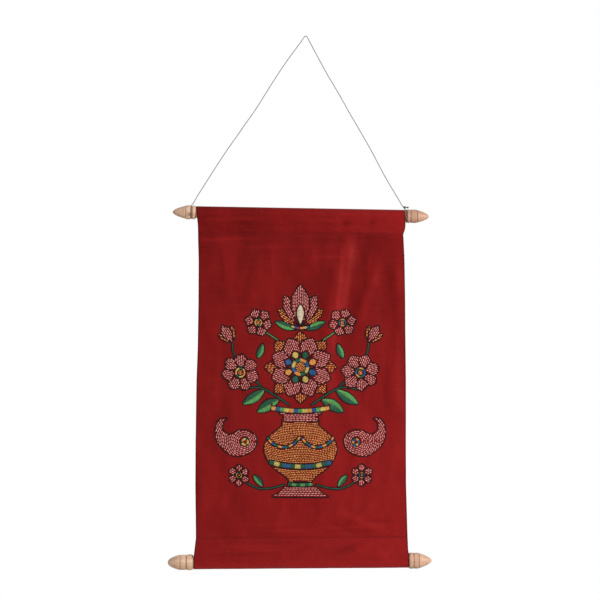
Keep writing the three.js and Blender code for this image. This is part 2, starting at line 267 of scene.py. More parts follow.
def alongPath(path, closed=False):
    ends = path + path[:1] if closed else path
    total = [0.0]
    for a, b in zip(ends, ends[1:]):
        total.append(total[-1] + math.dist(a, b))
    return ends, total


def pointAt(path, total, distance):
    distance = min(max(distance, 0.0), total[-1])
    low, high = 0, len(total) - 1
    while high - low > 1:
        middle = (low + high) // 2
        low, high = (middle, high) if total[middle] <= distance else (low, middle)
    share = (distance - total[low]) / max(total[high] - total[low], 1e-9)
    return tuple(a + (b - a) * share for a, b in zip(path[low], path[high]))


def evenPoints(points, step, closed=False):
    path, total = alongPath(smoothPath(points, closed, step / 2), closed)
    number = max(4, round(total[-1] / step))
    return [Vector(pointAt(path, total, total[-1] * i / number)) for i in range(number if closed else number + 1)]


def twistedString(name, points, diameter=None, closed=False, paintedShade=0.0):
    # a two-ply string along points in millimetres, painted darker and browner where it gets painted shade and the
    # wood's brown reflection
    diameter = diameter or string["diameter"]
    centres = evenPoints(points, string["ringStep"], closed)
    count, sides = len(centres), string["sides"]
    side = None
    corners, plies, turn = [], [], 0.0
    for i, centre in enumerate(centres):
        ahead = centres[(i + 1) % count] if closed else centres[min(i + 1, count - 1)]
        behind = centres[i - 1] if closed else centres[max(i - 1, 0)]
        along = (ahead - behind).normalized()
        if side is None:
            side = along.cross(Vector((0.1, 1, 0.2))).normalized()
        side = (side - along * side.dot(along)).normalized()
        up = along.cross(side)
        for k in range(sides):
            angle = 2 * math.pi * k / sides
            lobe = abs(math.cos(angle - turn))
            radius = diameter / 2 * (1 + string["plyDepth"] * (lobe - 0.6))
            if not closed:  # ends rounded off
                fromEnd = min(i, count - 1 - i) * string["ringStep"] / (diameter / 2)
                radius *= math.sqrt(1 - (1 - min(fromEnd, 1)) ** 2) if fromEnd < 1 else 1
                radius = max(radius, diameter * 0.12)
            corners.append((centre + side * (radius * math.cos(angle)) + up * (radius * math.sin(angle))) * mm)
            plies.append(lobe)
        turn += 2 * math.pi * string["ringStep"] / string["plyTwist"]
    faces = []
    for i in range(count if closed else count - 1):
        j = (i + 1) % count
        for k in range(sides):
            m = (k + 1) % sides
            faces.append((i * sides + k, i * sides + m, j * sides + m, j * sides + k))
    if not closed:
        faces.append(tuple(range(sides)))
        faces.append(tuple(range((count - 1) * sides, count * sides)))
    piece = newPiece(name, corners, faces, stringMaterial)
    setAttribute(piece, "ply", plies)
    setAttribute(piece, "paintedShade", [paintedShade] * len(plies))
    return piece, [tuple(c * mm) for c in centres]


def makeStringMaterial():
    material, tree, shader = newMaterial("greyString")
    place = addNode(tree, "ShaderNodeTexCoord").outputs["Object"]
    ply, paintedShade = attributeOf(tree, "ply"), attributeOf(tree, "paintedShade")
    fuzz = noiseFrom(tree, place, 2600, 3)
    tone = noiseFrom(tree, place, 60)
    # painted shade: darker in the furrows between the two plies
    color = tint(tree, string["darkColor"], string["color"], ply, 0.05, 0.6, 0, 1)
    color = tint(tree, color, string["lightColor"], tone, 0.3, 0.7, 0.0, 0.35)
    # painted shade and painted reflection of the wood: tan, then dark brown
    color = tint(tree, color, string["tanColor"], paintedShade, 0.0, 0.5, 0, 0.95)
    color = tint(tree, color, string["paintedShadeColor"], paintedShade, 0.5, 1.0, 0, 0.95)
    color = tint(tree, color, string["darkColor"], fuzz, 0.35, 0.65, 0.0, 0.3)
    feed(tree, shader, {"Base Color": color, "Roughness": 0.9, "Sheen Weight": 0.2})
    bumpInto(tree, shader, fuzz, 0.5, 0.0002)
    return material


stringMaterial = makeStringMaterial()

# wood

rods = {
    "top": {"left": (-199.5, -263.3), "right": (184.5, -270.1), "radius": 8.0},
    "bottom": {"left": (-206.9, -788.9), "right": (188.9, -786.0), "radius": 9.0},
}
tenon = {"radius": 4.5, "length": 12.0, "gap": 0.3}
wood = {
    "color": srgb(217, 176, 145),
    "lightColor": srgb(233, 196, 166),
    "darkColor": srgb(166, 121, 98),
    "cutColor": srgb(104, 66, 44),
    "sides": 72,
    "cutWidth": 0.9,  # of the turned line between bullet and band
    "cutDepth": 0.8,
    "rounding": 0.7,  # of the band's edges
}
# the last column says how dark that finial's wood is
finialColumns = ("name", "rod", "side", "length", "bulletLength", "bulletRadius", "bulletPower", "bandEnd",
                 "bandRadius", "beadStart", "beadEnd", "beadRadius", "grooveRadius", "neckRadius", "tone")
finials = [dict(zip(finialColumns, row)) for row in (
    ("top_finial_left", "top", "left", 35.2, 19.6, 9.8, 0.50, 26.9, 10.5, 29.8, 33.4, 10.5, 8.4, 9.0, 0.15),
    ("top_finial_right", "top", "right", 35.3, 17.0, 9.4, 0.50, 26.8, 10.0, 28.0, 32.2, 10.1, 9.2, 8.7, 1.0),
    ("bottom_finial_left", "bottom", "left", 38.0, 18.3, 11.5, 0.42, 27.3, 11.3, 28.6, 36.4, 11.8, 10.4, 10.9, 0.0),
    ("bottom_finial_right", "bottom", "right", 34.0, 19.0, 11.3, 0.55, 26.7, 11.8, 27.9, 33.0, 12.0, 11.2, 11.4, 0.55),
)]


def rodAxis(rod):
    (x0, z0), (x1, z1) = rod["left"], rod["right"]
    return {"slope": (z1 - z0) / (x1 - x0), "midX": (x0 + x1) / 2, "midZ": (z0 + z1) / 2,
            "length": math.hypot(x1 - x0, z1 - z0)}


def onRod(rodName, along, radius=0.0, angle=0.0):
    # a point by its distance from the rod's left tip, its distance from the axis and its angle from the front, upwards
    rod = rods[rodName]
    axis = rodAxis(rod)
    lean = math.atan(axis["slope"])
    out, up = -radius * math.cos(angle), radius * math.sin(angle)
    return Vector((rod["left"][0] + along * math.cos(lean) - up * math.sin(lean), out,
                   rod["left"][1] + along * math.sin(lean) + up * math.cos(lean)))


def makeWoodMaterial():
    material, tree, shader = newMaterial("paleWood")
    place = addNode(tree, "ShaderNodeTexCoord").outputs["Object"]
    grain = noiseFrom(tree, mapped(tree, place, (35, 420, 420)), 1.0, 4, 0.6)
    rings = noiseFrom(tree, mapped(tree, place, (8, 110, 110)), 1.0)
    pores = noiseFrom(tree, mapped(tree, place, (160, 2400, 2400)), 1.0)
    turned = noiseFrom(tree, mapped(tree, place, (900, 12, 12)), 1.0)
    stain = noiseFrom(tree, mapped(tree, place, (60, 90, 90), turn=(0, 0.5, 0)), 1.0, 3)
    color = tint(tree, wood["color"], wood["lightColor"], rings, 0.35, 0.65, 0, 1)
    for mark, name, span in ((grain, "darkColor", (0.5, 0.72, 0, 0.55)), (stain, "darkColor", (0.52, 0.75, 0, 0.4)),
                             (pores, "cutColor", (0.6, 0.75, 0, 0.3)), (turned, "darkColor", (0.52, 0.7, 0, 0.35)),
                             (attributeOf(tree, "tone"), "darkColor", (0, 1, 0, 0.7)),
                             (attributeOf(tree, "cut"), "cutColor", (0, 1, 0, 0.85))):
        color = tint(tree, color, wood[name], mark, *span)
    feed(tree, shader, {"Base Color": color, "Roughness": rangeOf(tree, grain, 0.3, 0.7, 0.42, 0.6)})
    bumpInto(tree, shader, mathNode(tree, "ADD", grain, pores), 0.25, 0.0002)
    return material


woodMaterial = makeWoodMaterial()


def finialProfile(f):
    # rows of distance from the tip, radius, and how dark the turned line is there
    rows = [(0.0, 0.0, 0.5)]
    for i in range(1, 25):
        share = (i / 24) ** 2
        rows.append((f["bulletLength"] * share, f["bulletRadius"] * share ** f["bulletPower"], 0.4 if i < 5 else 0.0))
    start, depth, rounding = f["bulletLength"], wood["cutDepth"], wood["rounding"]
    bandStart, bandRadius = start + wood["cutWidth"], f["bandRadius"]
    rows += [(start + 0.12, f["bulletRadius"] - 0.1, 0.3), (start + 0.3, f["bulletRadius"] - depth, 1.0),
             (start + 0.6, f["bulletRadius"] - depth, 1.0), (start + 0.78, bandRadius - rounding * 0.8, 0.5)]
    edge = [(rounding * (1 - math.cos(turn)), rounding * 0.5 * (1 - math.sin(turn)))
            for turn in (math.pi / 10 * i for i in range(6))]
    middle = (bandStart + f["bandEnd"]) / 2
    rows += [(bandStart + along, bandRadius - down, 0.0) for along, down in edge]
    rows += [(middle - 1.2, bandRadius + 0.08, 0.0), (middle + 1.2, bandRadius + 0.08, 0.0)]
    rows += [(f["bandEnd"] - along, bandRadius - down, 0.0) for along, down in edge[::-1]]
    groove, neck = f["grooveRadius"], f["neckRadius"]
    rows += [(f["bandEnd"] + 0.12, groove + 0.3, 0.8), (f["bandEnd"] + 0.35, groove, 1.0),
             (f["beadStart"] - 0.35, groove, 0.7), (f["beadStart"] - 0.1, groove + 0.2, 0.6)]
    foot = max(groove, neck)
    for i in range(1, 16):
        turn = math.pi * i / 16
        rows.append((f["beadStart"] + (f["beadEnd"] - f["beadStart"]) * (1 - math.cos(turn)) / 2,
                     foot + (f["beadRadius"] - foot) * math.sin(turn) ** 0.6 + 0.05, 0.25 if i in (1, 15) else 0.0))
    rows += [(f["beadEnd"] + 0.05, neck + 0.15, 0.7), (f["beadEnd"] + 0.3, neck, 0.3),
             (f["length"] - 0.4, neck, 0.0), (f["length"], neck - 0.4, 0.2)]
    bore, boreEnd = tenon["radius"] + tenon["gap"], f["length"] - tenon["length"] - tenon["gap"]
    return rows + [(f["length"], bore, 0.3), (boreEnd, bore, 0.3), (boreEnd, 0.0, 0.3)]


def makeFinial(f):
    profile = finialProfile(f)
    axis = rodAxis(rods[f["rod"]])
    sides = wood["sides"]
    points, cuts, faces = [], [], []
    for along, radius, cut in profile:
        at = along if f["side"] == "left" else axis["length"] - along
        for k in range(1 if radius == 0 else sides):
            points.append(onRod(f["rod"], at, radius, 2 * math.pi * k / sides) * mm)
            cuts.append(cut)
    first = 0
    for (_, ra, _), (_, rb, _) in zip(profile, profile[1:]):
        second = first + (1 if ra == 0 else sides)
        for k in range(sides):
            m = (k + 1) % sides
            if ra == 0:
                faces.append((first, second + k, second + m))
            elif rb == 0:
                faces.append((first + k, first + m, second))
            else:
                faces.append((first + k, first + m, second + m, second + k))
        first = second
    name = f["name"].replace("_finial_", "Finial").replace("left", "Left").replace("right", "Right")
    piece = newPiece(name, points, faces, woodMaterial)
    setAttribute(piece, "cut", cuts)
    setAttribute(piece, "tone", [f["tone"]] * len(cuts))
    handIn(piece, f["name"])


for f in finials:
    makeFinial(f)
for name in ("top_dowel", "bottom_dowel"):
    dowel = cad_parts[name]
    dowel.data.materials.clear()
    dowel.data.materials.append(woodMaterial)
print("rods and finials turned")

# string, its turns, loop and knots

ties = {
    "turns": 2,  # round the groove of the top left finial
    "turnSteps": 48,
    "turnPitch": 0.93,  # of the string's diameter
    "below": math.radians(13),  # how far the left knot sits below the front of the turns
    "leftKnotDepth": 1.7,
    "leftKnot": ((2.0, 1.8, 2.5), 1.35, 0.7),  # half sizes, diameter of the string in it, how much painted shade and brown wood reflection it gets
    "loopPlace": 33.4,  # from the tip of the top right finial
    "loopSteps": 24,
    "rightKnotPlace": (148.4, 0, -256.5),
    "rightKnot": ((2.4, 2.2, 2.3), 1.5, 0.9),
    "tail": ((1.2, 0, 0.1), (2.4, -0.2, 0.15), (3.4, -0.1, 0.1), (4.6, 0, 0)),  # from the middle of that knot
    "tailDiameter": 1.1,
    "stopKnot": ((1.7, 1.5, 1.6), 1.2, 0.9),
}


def knotAround(name, centre, sizes, turn=0.0):
    # a small overhand knot pulled tight: a closed three-lobed run
    halfSizes, diameter, paintedShade = sizes
    hx, hy, hz = (h - diameter / 2 for h in halfSizes)
    turned = Matrix.Rotation(turn, 3, "X")
    points = []
    for t in (2 * math.pi * i / 24 for i in range(24)):
        points.append(centre + turned @ Vector((hx * (math.sin(t) + 2 * math.sin(2 * t)) / 2.8, -hy * math.sin(3 * t),
                                                hz * (math.cos(t) - 2 * math.cos(2 * t)) / 2.9)))
    return twistedString(name, points, diameter, closed=True, paintedShade=paintedShade)[0]


leftFinial, rightFinial = finials[0], finials[1]
hangingCord, cordPath = twistedString("hangingString", [(x, 0, z) for x, z in string["route"]])

wrapAlong = (leftFinial["bandEnd"] + leftFinial["beadStart"]) / 2
wrapRadius = leftFinial["grooveRadius"] + tenon["gap"] + string["diameter"] / 2
wrapPoints = []
for i in range(ties["turnSteps"] + 1):
    share = i / ties["turnSteps"]
    wrapPoints.append(onRod("top", wrapAlong + string["diameter"] * ties["turnPitch"] * (share - 0.5), wrapRadius,
                            2 * math.pi * ties["turns"] * share - ties["below"]))
cordWrap = twistedString("stringTurns", wrapPoints, paintedShade=0.5)[0]
knotOut = wrapRadius + string["diameter"] / 2 + tenon["gap"] + ties["leftKnotDepth"]
knotLeft = knotAround("stringKnotLeft", onRod("top", wrapAlong, knotOut, -ties["below"]), ties["leftKnot"],
                      ties["below"])

# the loop leaves the neck on a tangent and is drawn up to the knot
loopCentre = onRod("top", rodAxis(rods["top"])["length"] - ties["loopPlace"])
loopRadius = rightFinial["neckRadius"] + tenon["gap"] + string["diameter"] / 2
knotPlace = Vector(ties["rightKnotPlace"])
foot = knotPlace + Vector((0.7, 0, -2.1 - string["diameter"] / 2))
leave = math.acos(loopRadius / (foot.z - loopCentre.z))
loopPoints = [knotPlace + Vector((0.3, -0.4, -0.6)), foot + Vector((0, -0.9, -0.6))]
for i in range(ties["loopSteps"] + 1):
    turn = leave + (2 * math.pi - 2 * leave) * i / ties["loopSteps"]
    loopPoints.append(loopCentre + Vector((0, -loopRadius * math.sin(turn), loopRadius * math.cos(turn))))
loopPoints += [foot + Vector((0, 0.9, -0.6)), knotPlace + Vector((0.3, 0.4, -0.6))]
cordLoop = twistedString("stringLoop", loopPoints, paintedShade=1.0)[0]

knotRight = knotAround("stringKnotRight", knotPlace, ties["rightKnot"])
tailPoints = [knotPlace + Vector(p) for p in ties["tail"]]
tail = twistedString("stringTail", tailPoints, ties["tailDiameter"], paintedShade=0.9)[0]
stopKnot = knotAround("stringStopKnot", tailPoints[-1], ties["stopKnot"])
cordPieces = {cordWrap: "cord_wrap_left", knotLeft: "cord_knot_left", cordLoop: "cord_loop_right",
              knotRight: "cord_knot_right", tail: None, stopKnot: None}
for piece, node in cordPieces.items():
    handIn(piece, node)
handIn(hangingCord, "hanging_cord")

# cloth

cloth = {
    "thickness": 0.6,
    "pocketRoom": 1.4,  # from the rod to the outside of its pocket
    "topSeam": -296.7,
    "bottomSeam": -752.3,
    "front": -1.0,  # of the panel at a seam
    "hemBack": 0.25,  # of a hem at its seam
    "hemPastSeam": 4.0,
    "hemSlant": 0.12,
    "hemLap": 0.05,  # how far a hem sinks into the panel
    "seamWidth": 0.3,
    "seamPinch": 0.6,
    "pinchReach": 1.7,
    "belly": 1.5,
    "foldFade": 30.0,  # folds end this softly towards the seams
    "creaseFade": 5.0,
    "crumple": ((0.022, 2.6), (0.055, 1.0), (0.13, 0.24)),  # random unevenness: how fine, how high
    "swell": ((0.035, 0.11, 3.3, 0.8), (0.09, 0.2, 7.1, 0.5)),  # of the pockets: how fine each way, seed, how high
    "columns": 118,
    "rowStep": 2.1,
    "arcSteps": 26,
    "wallSteps": 14,
    "flat": (0.318, 0.652),
}
edgeRows = [  # height, left edge, right edge
    (-257, -164.1, 148.2), (-272, -163.0, 149.0), (-281, -161.8, 149.4), (-288, -161.4, 148.9),
    (-297, -161.4, 146.3), (-306, -161.2, 146.8), (-335, -160.5, 147.9), (-402, -160.8, 148.8),
    (-470, -161.9, 149.6), (-515, -163.5, 150.1), (-605, -165.0, 150.2), (-672, -165.4, 150.4),
    (-717, -164.8, 151.7), (-752, -164.7, 152.8), (-771, -166.8, 153.4), (-776, -167.4, 154.2),
    (-799, -167.9, 154.6),
]
# soft folds: x, z, lean, half width, half length, height to the front
folds = [
    (38, -397, 0.12, 14, 110, 4.9), (70, -380, 0.16, 12, 85, -2.8), (93, -378, 0.32, 8, 46, 2.4),
    (146, -392, 0.00, 18, 62, 4.8), (-119, -365, 0.05, 10, 45, 2.4), (-87, -325, 0.20, 7, 22, 0.9),
    (-113, -562, 0.00, 11, 40, 1.6), (35, -643, 0.35, 9, 38, 1.8), (78, -607, 0.05, 9, 32, 1.7),
    (86, -713, 1.10, 12, 26, 2.4), (77, -740, 0.40, 14, 15, -1.8), (-157, -705, 0.00, 9, 48, 1.8),
    (-128, -643, 0.10, 10, 35, -1.2), (-20, -420, -0.05, 30, 150, -1.4), (-60, -660, 0.10, 28, 90, -1.2),
    (128, -570, 0.05, 16, 90, 1.8), (-140, -450, 0.05, 12, 60, 1.2),
]
# finer creases, the same columns; a wide and short one runs across the cloth
creases = [
    (46, -400, 0.10, 2.6, 80, 0.7), (66, -330, 0.22, 2.6, 34, 0.3), (62, -372, 0.12, 3.5, 38, 0.6),
    (36, -352, 0.05, 4.5, 30, -0.3), (94, -345, 0.15, 3.6, 22, 0.7), (-70, -350, 0.02, 4.0, 22, 0.5),
    (-92, -374, 0.25, 4.4, 28, -0.6), (-122, -335, -0.10, 4.0, 22, 0.5), (-132, -500, 0.05, 5.0, 40, 0.6),
    (-140, -610, 0.02, 4.6, 36, -0.6), (118, -520, 0.05, 4.2, 40, -0.6), (104, -690, 0.90, 4.2, 18, 0.7),
    (70, -722, 1.00, 3.8, 14, -0.6), (58, -690, 0.50, 4.2, 18, 0.6), (-40, -722, 0.30, 5.0, 18, 0.5),
    (-96, -715, -0.10, 4.8, 22, -0.6), (12, -332, 0.03, 4.6, 20, 0.5), (-28, -336, -0.04, 4.4, 20, -0.5),
    (136, -470, 0.00, 4.4, 44, 0.6), (-120, -690, 0.40, 4.6, 24, 0.6), (20, -725, 0.80, 4.2, 14, 0.6),
    (128, -650, 0.20, 4.6, 30, 0.6), (-120, -304, 3.0, 40, 2.8, 1.1), (20, -306, -4.0, 40, 2.8, -0.8),
    (-60, -316, 3.0, 34, 2.8, 0.8), (60, -738, 4.0, 34, 3.0, 1.1), (-20, -743, -4.0, 40, 2.8, 0.9),
    (100, -728, 3.0, 26, 3.0, -0.9), (-60, -733, 4.0, 30, 3.0, 0.8), (30, -331, -3.0, 30, 2.6, 0.7),
    (90, -355, 1.0, 26, 2.6, -0.5), (49, -410, 0.12, 8.0, 30, 0.9), (114, -349, 0.30, 9.0, 18, 0.4),
    (138, -376, -0.04, 7.0, 42, 1.1), (35, -322, 0.12, 9.0, 26, 0.8), (94, -313, 0.20, 14, 20, -1.4),
    (63, -317, 0.15, 10, 22, 1.2), (80, -728, -1.85, 16, 13, 1.9), (62, -739, -1.85, 14, 8, -1.2),
]
# dents and creases on the fronts of the two pockets, the same columns
dents = [
    (62, -768, 1.50, 16, 8.0, -1.6), (84, -766, 1.20, 12, 8.0, 1.0), (-14, -771, 0.50, 12, 7.0, -0.7),
    (59, -281, 0.40, 7.0, 5.0, -1.6), (98, -280, 0.30, 6.0, 4.5, -1.5), (-85, -764, 6.0, 40, 2.6, 1.1),
    (-60, -770, -6.0, 36, 2.6, 1.0), (-100, -776, 5.0, 36, 2.6, -1.0), (-45, -760, 5.0, 30, 2.6, -0.9),
    (112, -775, -0.6, 9.0, 8.0, 1.3), (70, -288, 1.0, 14, 2.6, 0.9), (-110, -275, 5.0, 40, 2.6, 0.8),
    (30, -277, -4.0, 34, 2.6, 0.9), (-60, -283, 6.0, 36, 2.6, -0.8),
]


def column(rows, index, z):
    zs = np.array([-r[0] for r in rows])
    return np.interp(-np.asarray(z, float), zs, np.array([r[index] for r in rows]))


def smoothStep(value, size):
    t = np.clip(value / size, 0, 1)
    return t * t * (3 - 2 * t)


def heightOf(rows, x, z):
    height = 0
    for fx, fz, lean, halfWidth, halfLength, rise in rows:
        across = x - fx - lean * (z - fz)
        height = height + rise * np.exp(-(across / halfWidth) ** 2 - ((z - fz) / halfLength) ** 2)
    return height


def reliefAt(x, z):
    # how far the folds and creases push the panel to the front
    total = 0
    for rows, reach in ((folds, cloth["foldFade"]), (creases, cloth["creaseFade"])):
        fade = smoothStep(cloth["topSeam"] - z, reach) * smoothStep(z - cloth["bottomSeam"], reach)
        total = total + heightOf(rows, x, z) * fade
    return total


def bellyAt(z):
    down = np.clip((cloth["topSeam"] - z) / (cloth["topSeam"] - cloth["bottomSeam"]), 0, 1)
    return -cloth["belly"] * np.sin(np.pi * down)


def pocketWalls(axisZ, seamZ, outerRadius, up):
    # outside and inside points of a pocket, seam on the front to seam on the back; (y, z) pairs
    t = cloth["thickness"]
    reach = abs(axisZ - seamZ)
    lean = math.asin(outerRadius / reach)
    ring = []
    for i in range(cloth["arcSteps"] + 1):
        turn = -lean + (math.pi + 2 * lean) * i / cloth["arcSteps"]
        ring.append((math.cos(turn), up * math.sin(turn)))
    outer = [(-outerRadius * c, axisZ + outerRadius * s) for c, s in ring]
    inner = [(-(outerRadius - t) * c, axisZ + (outerRadius - t) * s) for c, s in ring]

    def wall(start, end):
        n = cloth["wallSteps"]
        return [(start[0] + (end[0] - start[0]) * i / n, start[1] + (end[1] - start[1]) * i / n) for i in range(1, n)]

    front, back, insideZ = cloth["front"], cloth["hemBack"], seamZ + up * cloth["seamWidth"]
    outer = wall((front, seamZ), outer[0]) + outer + wall(outer[-1], (back, seamZ))
    inner = (wall((front + t, insideZ), inner[0]) + inner
             + wall(inner[-1], (back - t + cloth["hemLap"], insideZ)))
    return outer, inner


def clothSection():
    # one strip of cloth: hem, round the top rod, panel, round the bottom rod, hem
    t = cloth["thickness"]
    top, bottom = rodAxis(rods["top"]), rodAxis(rods["bottom"])
    room = cloth["pocketRoom"]
    topOuter, topInner = pocketWalls(top["midZ"], cloth["topSeam"], rods["top"]["radius"] + room, 1)
    lowOuter, lowInner = pocketWalls(bottom["midZ"], cloth["bottomSeam"], rods["bottom"]["radius"] + room, -1)

    def hem(seamZ, direction):  # from its raw edge to the seam, on the back of the panel
        rows = [1.0, 0.75, 0.5, 0.25, 0.0]
        zs = [seamZ + direction * cloth["hemPastSeam"] * r for r in rows]
        outside = [(float(bellyAt(z)) + cloth["hemBack"] - cloth["hemSlant"] * r, z) for r, z in zip(rows, zs)]
        inside = [(float(bellyAt(z)) + cloth["hemBack"] - t + cloth["hemLap"], z) for z in zs]
        return outside, inside

    topHemOut, topHemIn = hem(cloth["topSeam"], -1)
    lowHemOut, lowHemIn = hem(cloth["bottomSeam"], 1)
    height = cloth["topSeam"] - cloth["bottomSeam"]
    number = round(height / cloth["rowStep"])
    near = [0.0, 0.8, 1.6, 2.6, 4.0, 6.0]
    middle = [8 + (height - 16) * i / (number - 4) for i in range(number - 3)]
    panelZs = [cloth["topSeam"] - down for down in near + middle + [height - n for n in near[::-1]]]
    panelOut = [(float(bellyAt(z)) + cloth["front"], z) for z in panelZs]
    panelIn = [(y + t, z) for y, z in panelOut]
    outer = topHemOut + topOuter[::-1] + panelOut + lowOuter + lowHemOut[::-1]
    inner = topHemIn + topInner[::-1] + panelIn + lowInner + lowHemIn[::-1]
    isPanel = ([0.0] * (len(topHemOut) + len(topOuter)) + [1.0] * len(panelOut)
               + [0.0] * (len(lowOuter) + len(lowHemOut)))
    return outer, inner, isPanel


def crossSlopeAt(z):
    top, bottom = rodAxis(rods["top"]), rodAxis(rods["bottom"])
    rows = [(top["midZ"] - rods["top"]["radius"] / 2, top["slope"]), (cloth["topSeam"], 0.0),
            (cloth["bottomSeam"], bottom["slope"] / 2),
             (bottom["midZ"] + rods["bottom"]["radius"] / 2, bottom["slope"])]
    return column(rows, 1, z)


def clothPlace(across, y, z):
    # from the flat section to the hanging cloth; arrays in, arrays out
    x = column(edgeRows, 1, z) * (1 - across) + column(edgeRows, 2, z) * across
    top, bottom = rodAxis(rods["top"]), rodAxis(rods["bottom"])
    midX = np.where(z > (cloth["topSeam"] + cloth["bottomSeam"]) / 2, top["midX"], bottom["midX"])
    pinch = sum(np.exp(-((z - seam) / cloth["pinchReach"]) ** 2) for seam in (cloth["topSeam"], cloth["bottomSeam"]))
    inward = np.where(y < -0.3, pinch * cloth["seamPinch"], 0)
    uneven = np.zeros(z.shape)
    for fine, rise in cloth["crumple"]:
        for place in np.ndindex(z.shape):
            uneven[place] += rise * noise.noise(Vector((x[place] * fine, z[place] * fine * 0.6, fine * 70)))
    fade = smoothStep(cloth["topSeam"] + 3 - z, 12) * smoothStep(z - cloth["bottomSeam"] + 3, 12)
    return x, y - reliefAt(x, z) - uneven * fade + inward, z + crossSlopeAt(z) * (x - midX)


silk = {
    "base": srgb(119, 18, 18),
    "deep": srgb(97, 12, 13),
    "light": srgb(141, 26, 27),
    # shine, hollow, under and edge are painted light and shade: lighter where the bottom pocket turns under, darker in
    # hollows, under the stitching and along the side edges
    "shine": srgb(158, 32, 33),
    "hollow": srgb(90, 11, 12),
    "under": srgb(40, 4, 6),
    "edge": srgb(50, 8, 9),
    "gleam": (1.0, 0.22, 0.20, 1),
    "sheen": (1.0, 0.25, 0.22, 1),
}


def makeSilkMaterial():
    material, tree, shader = newMaterial("redSilk")
    uv = addNode(tree, "ShaderNodeUVMap", uv_map="clothUv").outputs[0]
    place = addNode(tree, "ShaderNodeSeparateXYZ", {0: uv}).outputs
    slub = noiseFrom(tree, mapped(tree, uv, (22, 900, 1)), 1.0, 3, 0.6)
    longSlub = noiseFrom(tree, mapped(tree, uv, (9, 260, 1), (3.1, 7.7, 0)), 1.0)
    warp = noiseFrom(tree, mapped(tree, uv, (700, 12, 1), (5.3, 1.1, 0)), 1.0)
    patches = noiseFrom(tree, mapped(tree, uv, (26, 14, 1), (0.4, 2.2, 0)), 1.0, 3, 0.55)
    weave = addNode(tree, "ShaderNodeTexWave", {"Vector": uv, "Scale": 420, "Distortion": 1.2},
                    wave_type="BANDS", bands_direction="Y").outputs["Fac"]
    color = tint(tree, silk["deep"], silk["base"], patches, 0.3, 0.7, 0, 1)
    color = tint(tree, color, silk["light"], slub, 0.45, 0.75, 0, 0.28)
    color = tint(tree, color, silk["light"], longSlub, 0.6, 0.8, 0, 0.3)
    color = tint(tree, color, silk["deep"], warp, 0.5, 0.8, 0, 0.25)
    # painted light and sheen: a little lighter towards the bottom rod and to the right, most of all at the top rod's
    # right end
    paintedLight = rangeOf(tree, place["Y"], 0.10, 0.50, 0, 0.36)
    rightHand = rangeOf(tree, place["X"], 0.06, 0.32, 0, 1)
    nearRod = mathNode(tree, "ADD", rangeOf(tree, place["Y"], 0.099, 0.091, 0.0, 0.75),
                       rangeOf(tree, place["Y"], 0.20, 0.40, 0, 0.25))
    paintedLight = mathNode(tree, "ADD", paintedLight, mathNode(tree, "MULTIPLY", rightHand, nearRod), clamp=True)
    color = mixColor(tree, paintedLight, color, silk["light"])
    # painted light: where the bottom pocket turns under its rod a narrow band is made lighter, in the shine colour
    undersideLight = mathNode(tree, "MINIMUM", rangeOf(tree, place["Y"], 0.585, 0.596, 0, 0.8),
                         rangeOf(tree, place["Y"], 0.602, 0.613, 0.8, 0))
    color = mixColor(tree, undersideLight, color, silk["shine"])
    # painted shade and light from the creases and dents: darker in their hollows, lighter on their crests
    hollow = attributeOf(tree, "hollow")
    color = tint(tree, color, silk["hollow"], hollow, 0.0, 2.0, 0, 0.7)
    color = tint(tree, color, silk["light"], hollow, 0.0, -1.5, 0, 0.6)
    # painted shade: the silk under the stitching is darker, as the stitches' shade
    color = tint(tree, color, silk["under"], attributeOf(tree, "sewnOver"), 0, 1, 0, 0.4)
    # painted shade along the side edges, where the cloth turns away from the light
    color = tint(tree, color, silk["edge"], attributeOf(tree, "sideDistance"), 0.0006, 0.0022, 0.75, 0)
    feed(tree, shader, {
        "Base Color": color, "Roughness": rangeOf(tree, slub, 0.3, 0.7, 0.62, 0.46), "Specular IOR Level": 0.22,
        "Specular Tint": silk["gleam"], "Sheen Weight": 0.05, "Sheen Roughness": 0.35, "Sheen Tint": silk["sheen"]})
    threadHeight = mathNode(tree, "MULTIPLY_ADD", longSlub, 0.8, slub)
    bumpInto(tree, shader, mathNode(tree, "MULTIPLY_ADD", weave, 0.18, threadHeight), 0.35, 0.0003)
    return material


silkMaterial = makeSilkMaterial()


